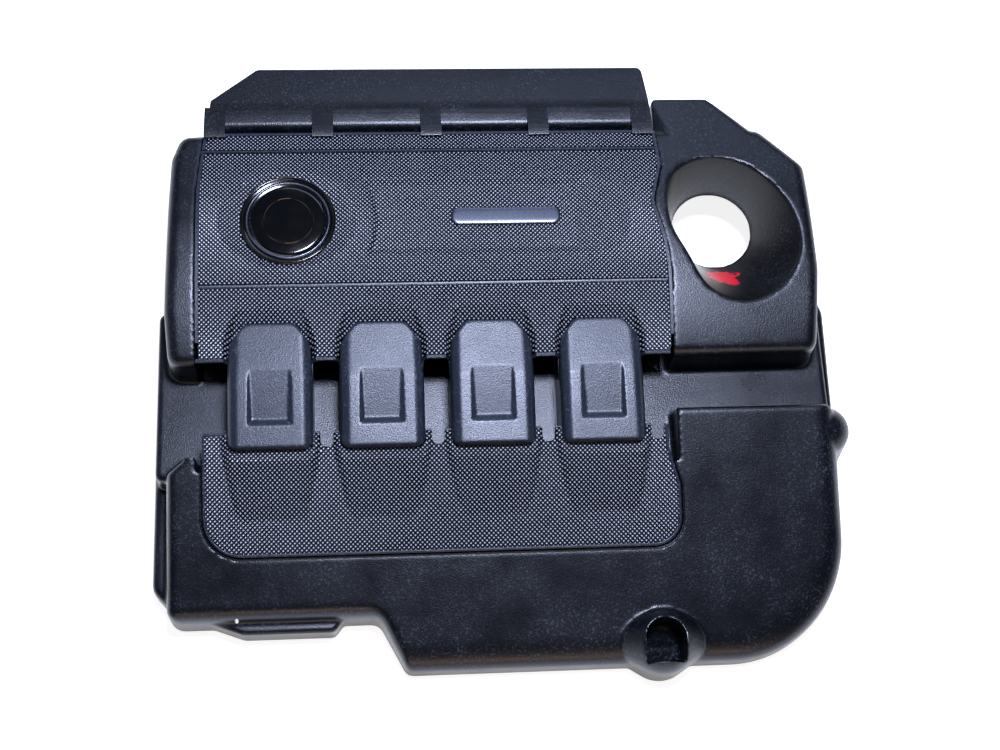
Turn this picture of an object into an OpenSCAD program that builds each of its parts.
// Engine top cover for a transverse four-cylinder engine, moulded in black plastic.
// The frame is centred on the cover's plan, with the lowest rim of the skirt at z = 0.
// +X is to the right and +Y towards the rear, as the cover is seen from the front of the car.

/* [Overall size] */
// Width over the left sill and the right tube bulge
cover_w = 554; // [520:1:600]
// Depth from the front lug to the rear edge of the flap
cover_d = 504; // [490:1:520]
// Height of the crown of the trim panel above the lowest rim
crown_z = 100; // [92:0.5:110]
// Wall of the body moulding
wall = 2.8; // [2:0.1:3.4]
// Roll radius of the body's upper edges
edge_r = 9; // [6:0.5:12]

/* [Upper part of the body] */
// Radius of the crown from front to rear
crown_r = 400; // [330:5:600]
// Distance from the plan's centre to the line where the crown is highest
crown_y = 105; // [90:1:120]
// Drop of the body's visible top below the trim panel's top
shelf_drop = 3; // [2:0.25:4]
// Drop of the carrier that lies under the trim panel
carrier_drop = 7; // [6.5:0.25:9]
// Front face of the upper part
upper_front_y = -8; // [-12:0.5:-4]
// Width of the body's top left of the trim panel
left_shelf_w = 25; // [20:0.5:32]
// Height of the lower edge of the rear wall
rear_wall_z = 48; // [30:1:60]
// Width of the sloping shoulder round the right rear corner
shoulder_w = 22; // [12:0.5:26]
// Drop of that shoulder
shoulder_h = 13; // [6:0.5:18]
// Draft of the side walls at the foot
foot_draft = 3; // [1:0.5:5]

/* [Low band] */
// Height of the low band between the upper part and the hood
band_z = 45; // [38:0.5:52]

/* [Front hood] */
// Height of the hood's plane at its rear line
hood_z = 68; // [62:0.5:74]
// Rear line of the hood beside the low band
hood_rear_y = -79; // [-84:0.5:-74]
// Fall of the hood towards the front, as a slope
hood_slope = 0.26; // [0.18:0.01:0.32]
// Roll of the hood's outer edges
hood_roll = 20; // [10:1:24]
// Radius of the big right front corner in plan
corner_r = 115; // [95:1:125]
// Rear edge of the hood's right-hand part
hood_right_y = -47; // [-52:0.5:-42]
// Front edge of the left-hand part, beside the slanted edge
hood_left_front_y = -200; // [-206:0.5:-194]

/* [Sills and bulges] */
// Height of the low sills at both sides
sill_z = 22; // [16:0.5:30]
// Radius of the tube bulge at the right side
tube_r = 20; // [15:0.5:24]
// Centre line of the tube bulge
tube_y = -65; // [-70:0.5:-60]
// Radius of the front lug's bulge
lug_r = 38; // [30:0.5:42]
// Place of the front lug across the cover
lug_x = 116; // [100:1:125]
// Width of the window in the front lug
lug_window_w = 31; // [24:0.5:36]

/* [Oil filler] */
// Place of the filler hole across the cover
filler_x = 183; // [178:0.5:188]
// Place of the filler hole from front to rear
filler_y = 117; // [112:0.5:122]
// Radius of the filler hole
filler_r = 33; // [28:0.5:36]
// Height of the filler hole's edge
filler_z = 42; // [34:0.5:52]

/* [Trim panel] */
// Thickness of the trim moulding
trim_t = 2.5; // [2:0.1:3]
// Gap between the trim and the body around it
trim_gap = 0.4; // [0.3:0.05:0.8]
// Width of the smooth rim strip
rim_w = 2.4; // [1.6:0.1:3.4]
// Height of the rim strip above the textured field
rim_h = 0.7; // [0.3:0.05:1.2]
// Front edge of the apron
apron_front_y = -155; // [-160:0.5:-148]
// Corner radius of the apron
apron_r = 30; // [20:0.5:38]
// Depth of the recess in the hood that takes the apron
apron_seat = 4; // [3.5:0.1:6]
// Rear edge of the panel
trim_rear_y = 186; // [183:0.5:188]
// Distance from the crease to the panel's rear edge
crease_in = 18; // [12:0.5:24]
// Place of the line across the middle of the panel
mid_line_y = 50; // [44:0.5:56]

/* [Domes] */
// Spacing of the four domes
dome_pitch = 86; // [84:0.25:88]
// Place of the first dome
dome_x = -183; // [-186:0.5:-180]
// Width of a dome at its foot
dome_w = 66; // [60:0.5:68]
// Roll radius of a dome's long edges
dome_r = 9; // [6:0.5:11]
// Height of a dome at its rear end
dome_z = 91; // [88:0.5:93]
// Height of a dome where it enters its collar
dome_foot_z = 82; // [78:0.5:86]
// Rear end of a dome
dome_rear_y = 20; // [16:0.5:24]
// Line where a dome enters its collar
dome_foot_y = -77; // [-80:0.5:-74]
// Step from a dome's front end down to its collar
collar_step = 7; // [4:0.5:10]
// Depth of the wedge pocket at its foot
pocket_h = 7; // [4:0.25:9]
// Width of the wedge pocket at its foot
pocket_w = 35; // [28:0.5:40]

/* [Badge and channel] */
// Place of the badge across the cover
badge_x = -168; // [-172:0.5:-164]
// Place of the badge from front to rear
badge_y = 105; // [101:0.5:109]
// Outer radius of the badge's bezel
badge_r = 38; // [34:0.25:40]
// Radius of the dish around the badge
dish_r = 49; // [45:0.5:52]
// Depth of the dish
dish_h = 3; // [1.5:0.1:3.4]
// Depth of the channel beside the badge
channel_h = 2.2; // [1.2:0.1:2.6]
// Length of the plain bar in the channel
bar_l = 88; // [60:1:110]
// Width of the plain bar
bar_w = 15; // [10:0.5:24]

/* [Rear flap] */
// Thickness of the flap
flap_t = 2.8; // [2:0.1:3.5]
// Height of the flap's rear edge
flap_rear_z = 83; // [76:0.5:88]
// Depth of the turned-down rear edge
flap_lip = 10; // [6:0.5:16]
// Width of a tab
tab_w = 17; // [12:0.5:22]
// Reach of the tabs over the trim panel's rear edge
tab_reach = 5; // [3:0.5:8]

/* [Mountings] */
// Radius of the ball stud that a grommet takes
ball_r = 5; // [4:0.1:6]
// Wall of a grommet
grommet_wall = 4.5; // [3.5:0.1:6]
// Height of a grommet
grommet_h = 16; // [14:0.5:20]
// Height of the lower rim of the grommet sockets
socket_z = 24; // [18:0.5:32]
// Wall of a grommet socket
socket_wall = 2.6; // [2:0.1:3.5]

/* [Fixings] */
// Radius of the studs under the trim panel
stud_r = 2.5; // [2:0.1:3.5]
// Outer radius of a push nut
nut_r = 7; // [5.5:0.1:9]

/* [Hidden] */
body_col = "#1b1f28";
trim_col = "#2b313d";
gloss_col = "#08090c";
chrome_col = "#b9bfca";
rubber_col = "#15161a";
foam_col = "#3c3d41";
eps = 0.05;
// The width and depth that the places below are drawn for; every place in plan keeps its share of them
drawn = [554, 504];
function across(v) = v * cover_w / drawn.x;
function along(v) = v * cover_d / drawn.y;
crown_line = along(crown_y);
fold_line = along(upper_front_y);
hood_line = along(hood_rear_y);
hood_right_line = along(hood_right_y);
hood_left_line = along(hood_left_front_y);
tube_line = along(tube_y);
filler_line = along(filler_y);
apron_line = along(apron_front_y);
rear_line = along(trim_rear_y);
mid_line = along(mid_line_y);
dome_rear = along(dome_rear_y);
dome_foot = along(dome_foot_y);
badge_line = along(badge_y);
filler_side = across(filler_x);
badge_side = across(badge_x);
dome_first = across(dome_x);
dome_step = across(dome_pitch);
lug_side = across(lug_x);
dome_wide = across(dome_w);
pocket_wide = across(pocket_w);
lug_half = across(lug_r);
dome_count = 4;
dome_xs = [for (i = [0 : dome_count - 1]) dome_first + i * dome_step];
left_x = -cover_w / 2;
right_x = cover_w / 2;
front_y = -cover_d / 2;
rear_y = cover_d / 2;
// Walls of the upper part and of the hood, drawn in from the sills and bulges
wall_left_x = left_x + 12;
wall_right_x = right_x - 20;
hood_right_x = right_x - 11;
hood_front_y = front_y + 11;
hood_inner_x = across(131);
hood_step_x = across(-82);
hood_left_end_x = across(-103);
// Outer edges of the trim panel
trim_left_x = wall_left_x + left_shelf_w;
trim_right_x = across(134);
carrier_front_y = dome_rear + along(24);
carrier_rear_y = rear_line + 2;
flap_right_x = across(131);
apron_left_x = trim_left_x + 4;
apron_right_x = hood_inner_x + 4;
apron_rear_y = hood_line + along(17);
ledge_z = 72;
lug_floor_z = 8;
pocket_top_z = 24;
grommet_r = ball_r + grommet_wall;
foam_h = 12;
foam_side = 8;
foam_margin = 26;
foam_front_w = across(150);
foam_front_gap = 27;
foam_rear_gap = 10;
// Half the gap between two domes; the arches and collars keep their shares of it
slot_half = (dome_step - dome_wide) / 2;
arch_gap = slot_half * 0.3;
ear_gap = slot_half * 0.7;
skirt_gap = slot_half * 0.85;
// The channel in the panel: its floor, and where its slopes end
channel_left_x = across(-118);
channel_right_x = across(117);
channel_floor_x = across(60);
channel_fade_x = across(95);
channel_front_y = along(78);
channel_rear_y = along(135);
channel_slope = 8;
bar_x = across(5);
bar_h = 3;
// Clearance between the trim's underside and the carrier, and between soft parts and what they touch
rim_clear = 0.2;
nut_clear = 1.2;
// Length of the flat facets that a crowned top is made of
crown_step = 20;
soft_clear = 0.3;
rib_h = 7;
rib_xs = [for (x = [-196, -140, 60, 124]) across(x)];
mount_places = [for (p = [[-218, 160], [86, 60], [-225, -178], [205, -150]]) [across(p.x), along(p.y)]];
stud_places = [for (p = [[-222, 110], [-60, 56], [-60, 172], [104, 172], [108, 70]])
    [across(p.x), along(p.y)]];
tab_xs = [trim_left_x + 13, across(-140), across(-52), across(36), flap_right_x - 9];

function unit(v) = v / norm(v);
function crown(y) = crown_z - crown_r + sqrt(crown_r * crown_r - (y - crown_line) * (y - crown_line));
function hood_plane(y) = hood_z + (y - hood_line) * hood_slope;

// Corners are [x, y, radius, roll], counter-clockwise; roll weights the inset of the edge that follows.
function wrap(c, i) = c[(i + len(c)) % len(c)];
function inward(c, i) =
    let (a = wrap(c, i), b = wrap(c, i + 1), d = unit([b.x - a.x, b.y - a.y])) [-d.y, d.x];
function roll_of(c, i) = let (e = wrap(c, i)) (len(e) > 3 ? e[3] : 1);
function inset_corner(c, i, d) =
    let (n1 = inward(c, i - 1), n2 = inward(c, i),
         d1 = d * roll_of(c, i - 1), d2 = d * roll_of(c, i),
         det = n1.x * n2.y - n1.y * n2.x)
    abs(det) < 1e-6 ? [c[i].x + n1.x * d1, c[i].y + n1.y * d1]
        : [c[i].x + (d1 * n2.y - d2 * n1.y) / det, c[i].y + (n1.x * d2 - n2.x * d1) / det];
function turn_of(c, i) = let (a = inward(c, i - 1), b = inward(c, i)) a.x * b.y - a.y * b.x;
function arc_steps(r) = r > 60 ? 12 : (r > 11 ? 4 : (r > 3 ? 3 : 1));
function round_corner(p, q, s, r, n) =
    let (u = unit(p - q), v = unit(s - q),
         half = acos(max(-1, min(1, u * v))) / 2,
         reach = min(r / tan(half), 0.48 * norm(p - q), 0.48 * norm(s - q)),
         rr = reach * tan(half),
         mid = q + unit(u + v) * rr / sin(half),
         a = q + u * reach, b = q + v * reach,
         a0 = atan2(a.y - mid.y, a.x - mid.x),
         sweep = ((atan2(b.y - mid.y, b.x - mid.x) - a0 + 540) % 360) - 180)
    [for (k = [0 : n]) mid + rr * [cos(a0 + sweep * k / n), sin(a0 + sweep * k / n)]];
function outline(c, d = 0) =
    let (q = [for (i = [0 : len(c) - 1]) inset_corner(c, i, d)])
    [for (i = [0 : len(c) - 1])
        let (r = max(min(c[i][2], 2.5), c[i][2] - (turn_of(c, i) > 0 ? d : -d)))
        each c[i][2] == 0 ? [q[i]]
            : round_corner(wrap(q, i - 1), q[i], wrap(q, i + 1), r, arc_steps(c[i][2]))];

// A level is [inset, share of the top plane, height added]; the loft runs from the first to the last.
function ring(c, level) = [for (p = outline(c, level[0])) [p.x, p.y, level[1] * hood_plane(p.y) + level[2]]];
module loft(c, levels) {
    rings = [for (l = levels) ring(c, l)];
    n = len(rings[0]);
    m = len(rings);
    sides = [for (k = [0 : m - 2], i = [0 : n - 1])
        let (j = (i + 1) % n) each [[k * n + i, (k + 1) * n + i, (k + 1) * n + j],
                                    [k * n + i, (k + 1) * n + j, k * n + j]]];
    polyhedron([for (r = rings) each r],
               concat(sides, [[for (i = [0 : n - 1]) i]], [[for (i = [n - 1 : -1 : 0]) (m - 1) * n + i]]));
}

// A prism whose top and foot lie parallel to the hood's plane, between two heights over that plane
module on_hood(c, from, to) {
    multmatrix([[1, 0, 0, 0], [0, 1, 0, 0], [0, hood_slope, 1, hood_z - hood_line * hood_slope + from]])
        linear_extrude(to - from)
            polygon(c);
}

// A slab under the crown, running across the cover between two lines and two depths below the crown
module crown_slab(y0, y1, top_drop, bottom_drop, x0, x1) {
    crown_prism(y0, y1, top_drop, x0, x1,
                [for (y = [y1 : (y0 - y1) / 10 : y0 - eps / 2]) [y, crown(y) - bottom_drop]]);
}

// A prism with a crowned top whose other edge is the given list of points, from rear to front
module crown_prism(y0, y1, top_drop, x0, x1, below) {
    steps = ceil((y1 - y0) / crown_step);
    ys = [for (k = [0 : steps]) y0 + (y1 - y0) * k / steps];
    profile = concat([for (y = ys) [y, crown(y) - top_drop]], below);
    translate([x0, 0, 0])
        rotate([90, 0, 90])
            linear_extrude(x1 - x0)
                polygon(profile);
}

// Points set along an outline's long sides, so that a top hulled over them follows the crown
function dense(c, step = 24) =
    [for (i = [0 : len(c) - 1])
        let (a = c[i], b = wrap(c, i + 1), n = max(1, ceil(abs(b.y - a.y) / step)))
        each [for (k = [0 : n - 1]) a + (b - a) * k / n]];

// A block with a flat foot and a crowned top with rolled edges; a shoulder slopes up to the rolled edge
module crowned_block(foot, r, drop, inset, bottom_z, shoulder = 0) {
    sides = inset > 0 ? 6 : 10;
    proud = 0.4;
    intersection() {
        hull() {
            translate([0, 0, bottom_z])
                linear_extrude(shoulder > 0 ? crown_z - drop - shoulder_h - inset - bottom_z : eps)
                    polygon(outline(foot, inset - (shoulder > 0 ? 0 : foot_draft)));
            for (p = dense(outline(foot, max(r + inset, shoulder))))
                translate([p.x, p.y, crown(p.y) - drop - r * sin(90 - 180 / sides) + proud])
                    sphere(r, $fn = sides);
        }
        crown_prism(fold_line - 21, rear_y, drop, left_x, right_x,
                    [[rear_y, bottom_z - 1], [fold_line - 21, bottom_z - 1]]);
    }
}

left_foot = [[trim_left_x + 19, carrier_rear_y, 0], [wall_left_x + 10, carrier_rear_y, 10],
             [wall_left_x + 3, along(165), 8], [wall_left_x, along(33), 8],
             [wall_left_x + 3, fold_line - 1, 8],
             [trim_left_x + 19, fold_line - 1, 0]];
right_foot = [[trim_right_x - 15, fold_line, 0], [wall_right_x - 6, fold_line + 1, 9],
              [wall_right_x, along(60), 20], [wall_right_x - 2, along(152), 9],
              [wall_right_x - 36, carrier_rear_y + 1, 6],
              [trim_right_x - 15, carrier_rear_y + 1, 0]];
rear_foot = [[flap_right_x + 2.5, along(138), 2], [wall_right_x - 2, along(138), 9],
             [wall_right_x - 2, along(153), 9], [trim_right_x + across(46), along(220), 9],
             [flap_right_x + 2.5, along(220), 4]];
hood_foot = [[apron_left_x - 2, hood_line, 2, 0.1], [left_x + 25, hood_line + 1, 4, 0.4],
             [wall_left_x, hood_line - 10, 10, 0.4], [wall_left_x, hood_left_line, 12, 0.5],
             [hood_left_end_x, hood_left_line, 10, 0.4], [hood_step_x, hood_front_y, 8, 1],
             [hood_right_x, hood_front_y, corner_r, 1], [hood_right_x, hood_right_line, 12, 0.3],
             [hood_inner_x, hood_right_line, 8, 0.2], [hood_inner_x, hood_line, 2, 0]];
band_foot = [[left_x + 3, hood_line - 12, 6, 1], [right_x - 12, hood_line - 12, 4, 1],
             [right_x - 12, carrier_front_y + 6, 4, 1], [left_x + 3, carrier_front_y + 6, 6, 1]];
left_sill = [[left_x, along(50), 8], [left_x, hood_left_line + 28, 14], [left_x + 18, hood_left_line + 8, 8],
             [left_x + 40, hood_left_line + 12, 4], [left_x + 40, along(62), 4], [left_x + 8, along(62), 6]];
right_sill = [[right_x - 60, along(-40), 4], [right_x - 2, along(-40), 6], [right_x, along(50), 8],
              [right_x - 14, along(92), 10], [right_x - 60, along(92), 4]];
front_pocket = [[left_x + 20, hood_left_line + 10, 6], [left_x + across(70), hood_left_line - 9, 10],
                [left_x + across(140), hood_left_line - 9, 6], [left_x + across(152), hood_left_line + 8, 6],
                [left_x + across(152), hood_left_line + 30, 4], [left_x + 20, hood_left_line + 30, 4]];
apron_outline = [[apron_left_x, apron_rear_y, 3], [apron_left_x, apron_line, apron_r],
                 [apron_right_x, apron_line, apron_r], [apron_right_x, hood_line - 30, 14],
                 [hood_inner_x - 4, hood_line - 2, 8], [hood_inner_x - 4, apron_rear_y, 2]];
panel_outline = [[trim_left_x, fold_line, 3], [trim_right_x, fold_line, 6], [trim_right_x + 1, along(60), 20],
                 [trim_right_x - 1, along(84), 20], [trim_right_x - 9, along(118), 16],
                 [trim_right_x, along(152), 16],
                 [trim_right_x - 2, rear_line, 3], [trim_left_x + 5, rear_line, 3],
                 [trim_left_x, along(132), 30]];
// Convex rim of the filler's bowl
bowl_outline = [for (c = [[139, 106, 10], [168, 36, 18], [200, 24, 22], [236, 44, 22], [245, 72, 22],
                         [233, 132, 30], [208, 158, 26], [163, 162.4, 24], [139, 146, 22]])
    [across(c.x), along(c.y), c[2]]];

module hood_block(inset, drop, bottom_z) {
    roll = hood_roll;
    flatten = 0.2;
    intersection() {
        loft(hood_foot, [[inset, 0, bottom_z], [inset, 0.45, -drop], [inset + roll * 0.06, 0.72, -drop],
                         [inset + roll * 0.3, 0.9, -drop], [inset + roll * 0.65, 0.98, -drop],
                         [inset + roll, 1, -drop + flatten], [inset + roll * 1.02, 1, -drop + flatten]]);
        on_hood([[left_x, front_y], [right_x, front_y], [right_x, 0], [left_x, 0]], -2 * hood_z, -drop);
    }
}

// A low block with a rolled upper edge
module step_block(foot, height, roll) {
    loft(foot, [[0, 0, 0], [0, 0, height - roll], [roll * 0.3, 0, height - roll * 0.3], [roll, 0, height]]);
}
module step_hollow(foot, height, bottom_z) {
    translate([0, 0, bottom_z])
        linear_extrude(height - wall - bottom_z)
            polygon(outline(foot, wall + 1));
}

module tube_bulge(grow, bottom_z) {
    reach = right_x - tube_r + grow;
    hull() {
        translate([reach - grow, tube_line, band_z + 3])
            sphere(tube_r + grow, $fn = grow < 0 ? 8 : 20);
        translate([reach - 42, tube_line, band_z + 10])
            sphere(tube_r * 0.7 + grow, $fn = grow < 0 ? 8 : 12);
        translate([reach - 42, tube_line - tube_r - grow, bottom_z])
            cube([tube_r + 40, 2 * (tube_r + grow), eps]);
    }
}

module front_lug(grow, bottom_z) {
    nose = 26 + grow;
    hull() {
        translate([lug_side, front_y + 26, nose + 1])
            sphere(nose, $fn = grow < 0 ? 12 : 24);
        for (s = [-1, 1])
            translate([lug_side + s * lug_half, front_y + 34, bottom_z])
                cylinder(h = 20, r = 12 + grow, $fn = grow < 0 ? 8 : 20);
        translate([lug_side, front_y + 26, bottom_z])
            cylinder(h = 12, r = nose, $fn = grow < 0 ? 12 : 24);
    }
}

module filler_bowl(grow) {
    top = crown_z + 7;
    hull() {
        translate([0, 0, top])
            linear_extrude(eps)
                polygon(outline(bowl_outline, -grow - (top - crown(filler_line) + shelf_drop) * 0.25));
        translate([filler_side, filler_line, filler_z])
            cylinder(h = eps, r = filler_r + 1 + grow, $fn = 48);
    }
}

// The outer form of the body before the seats and the bowl are cut
module body_outer() {
    crowned_block(left_foot, edge_r, shelf_drop, 0, 0);
    crowned_block(right_foot, edge_r, shelf_drop, 0, 0);
    crowned_block(rear_foot, 4, shelf_drop, 0, 0, shoulder_w);
    crown_prism(carrier_front_y, carrier_rear_y, carrier_drop, trim_left_x - 2, trim_right_x + 4,
                [[carrier_rear_y, 0], [carrier_front_y, 0]]);
    step_block(band_foot, band_z, 4);
    step_block(left_sill, sill_z, 4);
    step_block(right_sill, sill_z, 4);
    step_block(front_pocket, pocket_top_z, 2);
    hood_block(0, 0, 0);
    tube_bulge(0, 0);
    front_lug(0, 0);
    flap_ledge(0);
}

// The hollow under the body, one wall inside the outer form
module body_inner() {
    below = -1;
    difference() {
        union() {
            crowned_block(left_foot, edge_r - wall, shelf_drop + wall, wall, below);
            crowned_block(right_foot, edge_r - wall, shelf_drop + wall, wall, below);
            crowned_block(rear_foot, 2, shelf_drop + wall + 0.8, wall, below, shoulder_w);
            crown_prism(carrier_front_y, carrier_rear_y - wall, carrier_drop + wall, trim_left_x - 12,
                        trim_right_x + 14, [[carrier_rear_y - wall, below], [carrier_front_y, below]]);
            hood_block(wall, wall, below);
            tube_bulge(-wall, below);
            front_lug(-wall, below);
        }
        apron_seat_block(wall);
        panel_seat(wall);
        dome_room(wall);
    }
    step_hollow(band_foot, band_z, below);
    step_hollow(left_sill, sill_z, below);
    step_hollow(right_sill, sill_z, below);
    step_hollow(front_pocket, pocket_top_z, below);
}

// The recess in the hood for the apron; grow adds the wall around it
module apron_seat_block(grow) {
    on_hood(outline(apron_outline, -trim_gap - grow), -apron_seat - grow, 40);
}

// The recess in the body's top for the trim panel
module panel_seat(grow) {
    intersection() {
        crown_slab(carrier_front_y - 1, rear_line + trim_gap + grow, -20, carrier_drop + grow,
                   trim_left_x - 10, trim_right_x + 10);
        translate([0, 0, crown_z - 40])
            linear_extrude(80)
                polygon(outline(panel_outline, -trim_gap - grow));
    }
}

// The room in front of the carrier that the domes and the folds of the trim reach down into
module dome_room(grow) {
    translate([0, 0, band_z - grow])
        linear_extrude(80)
            polygon([[trim_left_x - trim_gap - grow, hood_line - 12], [trim_left_x - trim_gap - grow,
                     carrier_front_y + grow], [trim_right_x + trim_gap + grow, carrier_front_y + grow],
                     [trim_right_x + trim_gap + grow, hood_line - 12]]);
}

// The ledge behind the carrier that the front wall of the flap stands on
module flap_ledge(inset) {
    translate([trim_left_x + 6 + inset, carrier_rear_y - 6, ledge_z - wall])
        cube([flap_right_x - trim_left_x - 10 - 2 * inset, 22, wall]);
}

// Sockets for the grommets, each a cup on a post of crossed ribs that reaches the underside of the top
module socket_posts() {
    cup_r = grommet_r + soft_clear + socket_wall;
    cup_h = grommet_h + soft_clear + socket_wall;
    for (p = mount_places)
        translate([p.x, p.y, socket_z]) {
            cylinder(h = cup_h, r = cup_r, $fn = 24);
            for (a = [0, 90])
                rotate(a)
                    translate([-cup_r + 1, -1.2, cup_h - 1])
                        cube([2 * cup_r - 2, 2.4, 80]);
        }
}
module socket_bores() {
    for (p = mount_places)
        translate([p.x, p.y, socket_z - 40])
            cylinder(h = 40 + grommet_h + soft_clear, r = grommet_r + soft_clear, $fn = 24);
}

// Shallow ribs under the carrier
module carrier_ribs() {
    for (x = rib_xs)
        crown_slab(carrier_front_y + 1, carrier_rear_y - 1, carrier_drop + 1, carrier_drop + wall + rib_h,
                   x - 1, x + 1);
}

module stud_holes(r) {
    for (p = stud_places)
        translate([p.x, p.y, crown_z - 40])
            cylinder(h = 60, r = r, $fn = 20);
}

module body_shell() {
    color(body_col)
        difference() {
            union() {
                difference() {
                    body_outer();
                    body_inner();
                }
                intersection() {
                    body_outer();
                    union() {
                        filler_bowl(wall);
                        lug_pocket(wall);
                        socket_posts();
                        carrier_ribs();
                    }
                }
            }
            filler_bowl(0);
            translate([filler_side, filler_line, filler_z - 20])
                cylinder(h = 40, r = filler_r, $fn = 48);
            apron_seat_block(0);
            panel_seat(0);
            dome_room(0);
            stud_holes(stud_r + 0.4);
            socket_bores();
            lug_pocket(0);
            rear_opening();
            translate([apron_left_x + 45, hood_left_line - 3, 12])
                sphere(2.4, $fn = 16);
        }
}

// The pocket in the front lug, arched towards the rear
module lug_pocket(grow) {
    half = lug_window_w / 2;
    translate([lug_side, front_y + 26, lug_floor_z - grow])
        cylinder(h = 60, r = half + grow, $fn = 24);
    translate([lug_side - half - grow, front_y + 8 - grow, lug_floor_z - grow])
        cube([lug_window_w + 2 * grow, 18 + grow, 60]);
}

// The rear wall ends above the hoses that run behind the engine
module rear_opening() {
    translate([trim_left_x + 8, carrier_rear_y - 30, -1])
        cube([flap_right_x - trim_left_x - 16, 60, rear_wall_z + 1]);
}

// The outline of an arch in the panel, and of the dome that comes out from under it
function arch_outline(x, grow) =
    let (half = dome_wide / 2 + arch_gap + grow, top = dome_wide / 2 - 13 + grow * 0.5)
    outline([[x - half, dome_rear - along(40), 2], [x + half, dome_rear - along(40), 2],
             [x + half - 1, dome_rear - along(8), 12], [x + top, dome_rear + along(15) + grow, 5],
             [x - top, dome_rear + along(15) + grow, 5], [x - half + 1, dome_rear - along(8), 12]]);
function dome_outline(x, grow) =
    let (h = dome_wide / 2 + grow)
    outline([[x - h, dome_foot - grow, 8], [x + h, dome_foot - grow, 8], [x + h, dome_rear - along(46), 30],
             [x + h - 1.5, dome_rear - along(16), 14], [x + h * 0.58, dome_rear + grow, 8],
             [x - h * 0.58, dome_rear + grow, 8], [x - h + 1.5, dome_rear - along(16), 14],
             [x - h, dome_rear - along(46), 30]]);

// The sloping wall between an arch in the panel and its dome
module arch_funnel(x, grow) {
    hull() {
        translate([0, 0, crown_z])
            linear_extrude(eps)
                polygon(arch_outline(x, grow));
        translate([0, 0, band_z + 2])
            linear_extrude(dome_z - band_z - 5)
                intersection() {
                    polygon(dome_outline(x, grow - 0.3));
                    translate([x - dome_wide, dome_rear - along(40)])
                        square([2 * dome_wide, 80]);
                }
    }
}

// A dome: flat on top, with rolled long edges and upright sides; its rear end runs under the arch
module dome_form(x, inset) {
    r = dome_r - inset;
    fine = inset > 0 ? 6 : 12;
    low = band_z + (inset > 0 ? -1 : 0.3);
    intersection() {
        hull()
            for (s = [-1, 1]) {
                translate([x + s * (dome_wide / 2 - dome_r), dome_rear - along(43), dome_z - 1 - dome_r])
                    sphere(r, $fn = fine);
                translate([x + s * (dome_wide / 2 - dome_r - 1), dome_rear + along(8), dome_z + 1 - dome_r])
                    sphere(r, $fn = fine);
                translate([x + s * (dome_wide / 2 - dome_r), dome_foot - dome_r, dome_foot_z - dome_r - 1.5])
                    sphere(r, $fn = fine);
                translate([x + s * (dome_wide / 2 - r), dome_foot - dome_r, low])
                    cylinder(h = eps, r = r - inset, $fn = 6);
                translate([x + s * (dome_wide / 2 - r), dome_rear + along(8), low])
                    cylinder(h = eps, r = r - inset, $fn = 6);
            }
        translate([0, 0, low])
            linear_extrude(crown_z)
                polygon(dome_outline(x, -inset));
    }
}

// The wedge pocket sunk in the front half of a dome; its floor falls towards the front
function dome_top(y) =
    dome_foot_z + (y - dome_foot) * (dome_z - 1 - dome_foot_z) / (dome_rear - along(40) - dome_foot);
module dome_pocket(x, grow) {
    half = pocket_wide / 2 + grow;
    foot = dome_foot + along(16) - grow;
    start = dome_foot + along(62);
    hull() {
        translate([x - half, foot, dome_top(foot) + 4])
            cube([2 * half, eps, eps]);
        translate([x - half + 1, start, dome_top(start) + 4])
            cube([2 * half - 2, eps, eps]);
        translate([x - half + 3.5, foot + 4.5, dome_top(foot) - pocket_h - grow])
            cube([2 * half - 7, eps, eps]);
        translate([x - half + 1.5, start, dome_top(start) - grow])
            cube([2 * half - 3, eps, eps]);
    }
}

// The collar that the apron raises round the foot of a dome, lower than the dome's end
module dome_collar(x, inset) {
    r = 6 - inset;
    fine = inset > 0 ? 6 : 10;
    top = dome_foot_z - collar_step;
    low_y = dome_foot - along(44);
    hull()
        for (s = [-1, 1]) {
            translate([x + s * (dome_wide / 2 - 3), dome_foot - along(5), top - 6])
                sphere(r, $fn = fine);
            translate([x + s * (dome_wide / 2 + ear_gap - 6), dome_foot + along(12), top - 5])
                sphere(r, $fn = fine);
            translate([x + s * (dome_wide / 2 - 9), low_y, hood_plane(low_y) - 6.5])
                sphere(r, $fn = fine);
            translate([x + s * (dome_wide / 2 + skirt_gap - 5.5), dome_foot - along(12),
                       hood_plane(dome_foot) - 14])
                sphere(r - 0.5, $fn = fine);
        }
}

// The gaps between the domes, each with a narrower tongue into the apron
module slots() {
    for (i = [0 : dome_count - 1]) {
        mid = dome_xs[i] + dome_step / 2;
        half = slot_half;
        translate([mid - half, hood_line + along(20), 0])
            cube([2 * half, fold_line - hood_line - along(20) - trim_t, crown_z]);
        translate([mid - half / 2, hood_line + along(5) + half / 2, 0])
            cube([half, 30, crown_z]);
        translate([mid, hood_line + along(5) + half / 2, 0])
            cylinder(h = crown_z, r = half / 2, $fn = 24);
    }
}

module badge_dish(grow) {
    floor_z = crown(badge_line) - dish_h - grow;
    slope = (dish_r - badge_r) / (dish_h - 1);
    translate([badge_side, badge_line, floor_z])
        rotate_extrude($fn = 40)
            polygon([[0, 0], [badge_r + 0.4 + grow, 0],
                     [badge_r + 0.4 + grow + slope * (dish_h + 4), dish_h + 4], [0, dish_h + 4]]);
}

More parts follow.
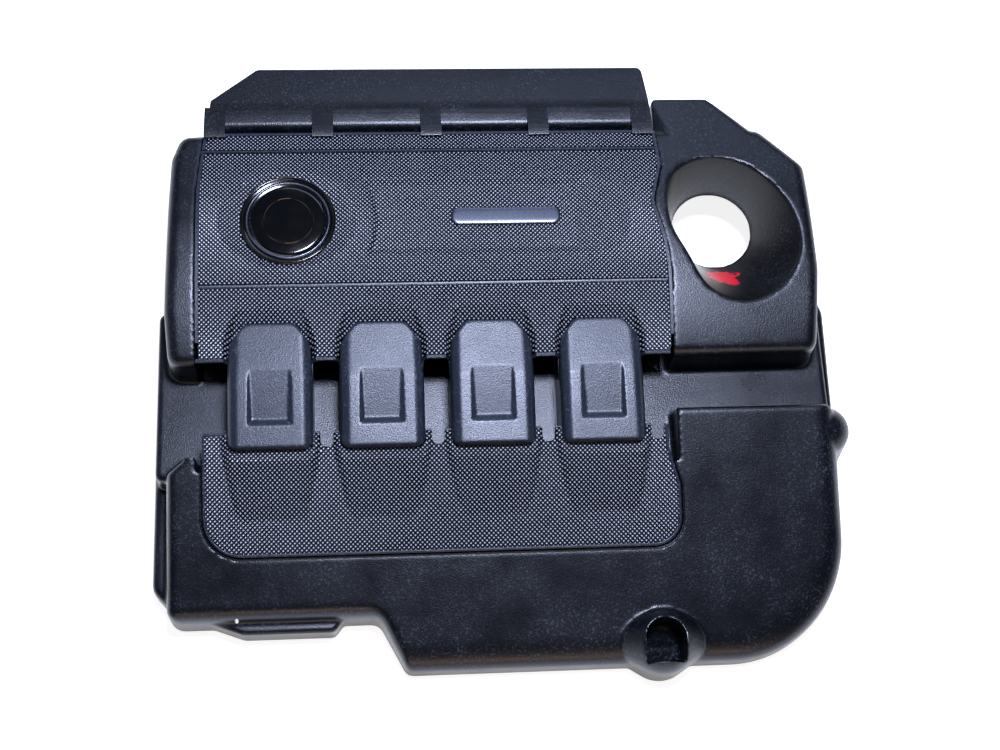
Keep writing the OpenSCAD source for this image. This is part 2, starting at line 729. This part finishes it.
module channel_cut(grow) {
    floor_z = crown(crown_line) - channel_h - 0.6 - grow;
    difference() {
        hull() {
            translate([channel_left_x, channel_front_y - channel_slope - grow, crown_z + 1])
                cube([channel_right_x - channel_left_x + grow,
                      channel_rear_y - channel_front_y + 3 * channel_slope + 1 + 2 * grow, eps]);
            translate([channel_left_x, channel_front_y - grow, floor_z])
                cube([channel_floor_x - channel_left_x + grow,
                      channel_rear_y - channel_front_y + 2 * grow, eps]);
            translate([channel_fade_x + grow, channel_front_y + 4 - grow, crown_z - 0.8 - grow])
                cube([eps, channel_rear_y - channel_front_y - 7 + 2 * grow, eps]);
        }
        translate([badge_side, badge_line, crown_z - 20])
            cylinder(h = 40, r1 = dish_r + 39 - grow, r2 = dish_r - 1 - grow, $fn = 48);
    }
}

module upper_panel() {
    difference() {
        union() {
            intersection() {
                union() {
                    crown_slab(fold_line, rear_line, 0, trim_t, trim_left_x, trim_right_x + 3);
                    badge_dish(trim_t);
                    channel_cut(trim_t);
                    intersection() {
                        crown_slab(carrier_front_y, rear_line, 1, carrier_drop - rim_clear, trim_left_x,
                                   trim_right_x + 3);
                        panel_rim();
                    }
                }
                translate([0, 0, crown_z - 40])
                    linear_extrude(80)
                        polygon(outline(panel_outline));
                crown_slab(fold_line, rear_line, 0, 30, trim_left_x, trim_right_x + 3);
            }
            intersection() {
                crown_slab(fold_line, rear_line, -rim_h, 1, trim_left_x, trim_right_x + 3);
                panel_rim();
            }
            // The folds that stand on the low band between the domes
            intersection() {
                crown_slab(fold_line, fold_line + trim_t, 0, 80, trim_left_x, trim_right_x + 3);
                translate([trim_left_x, fold_line - 1, band_z])
                    cube([trim_right_x - trim_left_x - 3, 10, crown_z]);
            }
            intersection() {
                crown_slab(fold_line, rear_line, 0, 80, trim_left_x, trim_right_x + 3);
                for (x = dome_xs)
                    arch_funnel(x, trim_t);
            }
        }
        for (x = dome_xs)
            arch_funnel(x, 0);
        badge_dish(0);
        channel_cut(0);
        for (y = [rear_line - crease_in, mid_line])
            translate([trim_left_x + rim_w + 0.4, y - 0.6, crown(y) - 0.8])
                cube([trim_right_x - trim_left_x, 1.2, 5]);
    }
}

module panel_rim() {
    translate([0, 0, crown_z - 40])
        linear_extrude(80)
            difference() {
                polygon(outline(panel_outline));
                polygon(outline(panel_outline, rim_w));
                translate([trim_left_x - 5, fold_line - 5])
                    square([2 * cover_w, 4]);
            }
}

module apron_plate() {
    difference() {
        on_hood(outline(apron_outline), -apron_seat + 0.3, rim_h);
        on_hood(outline(apron_outline, rim_w), 0, 20);
        on_hood(outline(apron_outline, rim_w), -20, -trim_t);
    }
}

module domes() {
    for (x = dome_xs)
        difference() {
            union() {
                difference() {
                    dome_form(x, 0);
                    dome_form(x, trim_t);
                }
                intersection() {
                    dome_form(x, 0);
                    dome_pocket(x, trim_t);
                }
            }
            dome_pocket(x, 0);
        }
}

module apron() {
    difference() {
        union() {
            apron_plate();
            intersection() {
                for (x = dome_xs)
                    dome_collar(x, 0);
                on_hood(outline(apron_outline), -trim_t, 40);
            }
        }
        for (x = dome_xs) {
            dome_collar(x, trim_t);
            dome_form(x, trim_t);
        }
        slots();
    }
}

module trim_panel() {
    color(trim_col) {
        upper_panel();
        apron();
        domes();
        stud_pins();
    }
}

module stud_pins() {
    for (p = stud_places)
        translate([p.x, p.y, crown(p.y) - carrier_drop - wall - 10])
            cylinder(h = carrier_drop + wall + 9, r = stud_r, $fn = 20);
}

// The flap's section, from its front wall over the sheet to the turned-down rear edge
function flap_section(inset) =
    outline([[carrier_rear_y + 2 + inset, ledge_z - (inset > 0 ? 5 : 0), 0.5],
             [rear_y - inset, ledge_z - (inset > 0 ? 5 : 0), 0.5],
             [rear_y - inset, flap_rear_z - inset, 4], [carrier_rear_y + 12, crown(rear_line) - 3 - inset, 14],
             [carrier_rear_y + 2 + inset, crown(rear_line) - 5 - inset, 5]]);
function flap_plan(inset) =
    outline([[flap_right_x - inset, carrier_rear_y, 0.5], [flap_right_x - 1 - inset, rear_y - 34, 4],
             [flap_right_x - 4 - inset, rear_y - inset, 8], [trim_left_x + 48 + inset, rear_y - inset, 8],
             [trim_left_x + 9 + inset, rear_y - 34, 4], [trim_left_x + 7 + inset, carrier_rear_y, 0.5]]);

module flap_solid(inset) {
    intersection() {
        translate([left_x, 0, 0])
            rotate([90, 0, 90])
                linear_extrude(cover_w)
                    polygon(flap_section(inset));
        linear_extrude(crown_z + 10)
            polygon(flap_plan(inset));
    }
}

module rear_flap() {
    color(body_col) {
        difference() {
            flap_solid(0);
            flap_solid(flap_t);
            translate([left_x, carrier_rear_y + 12, ledge_z - 10])
                cube([cover_w, 80, flap_rear_z - flap_lip - ledge_z + 10]);
        }
        for (x = tab_xs)
            translate([x - tab_w / 2, rear_line - tab_reach, crown(rear_line - tab_reach) + rim_h + 0.3])
                cube([tab_w, tab_reach + 8, flap_t - 0.6]);
        for (x = tab_xs)
            translate([x - tab_w / 2, carrier_rear_y + 2, crown(rear_line) - 6])
                cube([tab_w, 4, 7.5 + crown(rear_line - tab_reach) - crown(rear_line) + rim_h]);
    }
}

module badge_bezel() {
    z0 = crown(badge_line) - dish_h;
    color(gloss_col)
        translate([badge_side, badge_line, z0])
            rotate_extrude($fn = 96)
                polygon([[badge_r - 8, 0], [badge_r, 0], [badge_r, 2], [badge_r - 1.2, 3],
                         [badge_r - 4, 3], [badge_r - 5.4, 2], [badge_r - 6.2, 2], [badge_r - 8, 1]]);
}

module badge_disc() {
    z0 = crown(badge_line) - dish_h;
    color(gloss_col)
        translate([badge_side, badge_line, z0])
            rotate_extrude($fn = 96)
                polygon([[0, 0], [badge_r - 8.2, 0], [badge_r - 8.2, 1.2], [badge_r - 10, 1.8], [12, 2.5],
                         [0, 2.7]]);
}

module name_bar() {
    z0 = crown(crown_line) - channel_h - 0.6;
    half = bar_w / 2;
    color(chrome_col)
        translate([bar_x, (channel_front_y + channel_rear_y) / 2, z0])
            linear_extrude(bar_h)
                polygon(outline([[-bar_l / 2, -half, half * 0.9], [bar_l / 2, -half, half * 0.9],
                                 [bar_l / 2, half, half * 0.9], [-bar_l / 2, half, half * 0.9]]));
}

module foam_pad_rear() {
    color(foam_col)
        crown_slab(carrier_front_y + foam_margin, carrier_rear_y - foam_margin,
                   carrier_drop + wall + soft_clear, carrier_drop + wall + foam_h,
                   rib_xs[1] + foam_side, rib_xs[2] - foam_side);
}

module foam_pad_front() {
    y0 = hood_front_y + foam_front_gap;
    y1 = apron_line - foam_rear_gap;
    top = -wall - soft_clear;
    color(foam_col)
        translate([hood_step_x + 20, 0, 0])
            rotate([90, 0, 90])
                linear_extrude(foam_front_w)
                    polygon([[y0, hood_plane(y0) + top - foam_h], [y1, hood_plane(y1) + top - foam_h],
                             [y1, hood_plane(y1) + top], [y0, hood_plane(y0) + top]]);
}

module mount_grommets() {
    color(rubber_col)
        for (p = mount_places)
            translate([p.x, p.y, socket_z])
                rotate_extrude($fn = 64)
                    polygon([[ball_r, 0], [ball_r + 1.5, -2.5], [grommet_r + 2, -2.5], [grommet_r + 2, 0],
                             [grommet_r, 0], [grommet_r, grommet_h], [ball_r, grommet_h]]);
}

module push_nuts() {
    color("#8d9199")
        for (p = stud_places)
            translate([p.x, p.y, crown(p.y) - carrier_drop - wall - nut_clear
                                     - nut_r * abs(p.y - crown_line) / crown_r])
                rotate_extrude($fn = 32)
                    polygon([[stud_r + 0.05, 0], [nut_r, 0], [nut_r, 0.8], [stud_r + 0.6, 1],
                             [stud_r + 0.05, 0.6]]);
}

body_shell();
trim_panel();
rear_flap();
badge_bezel();
badge_disc();
name_bar();
foam_pad_rear();
foam_pad_front();
mount_grommets();
push_nuts();
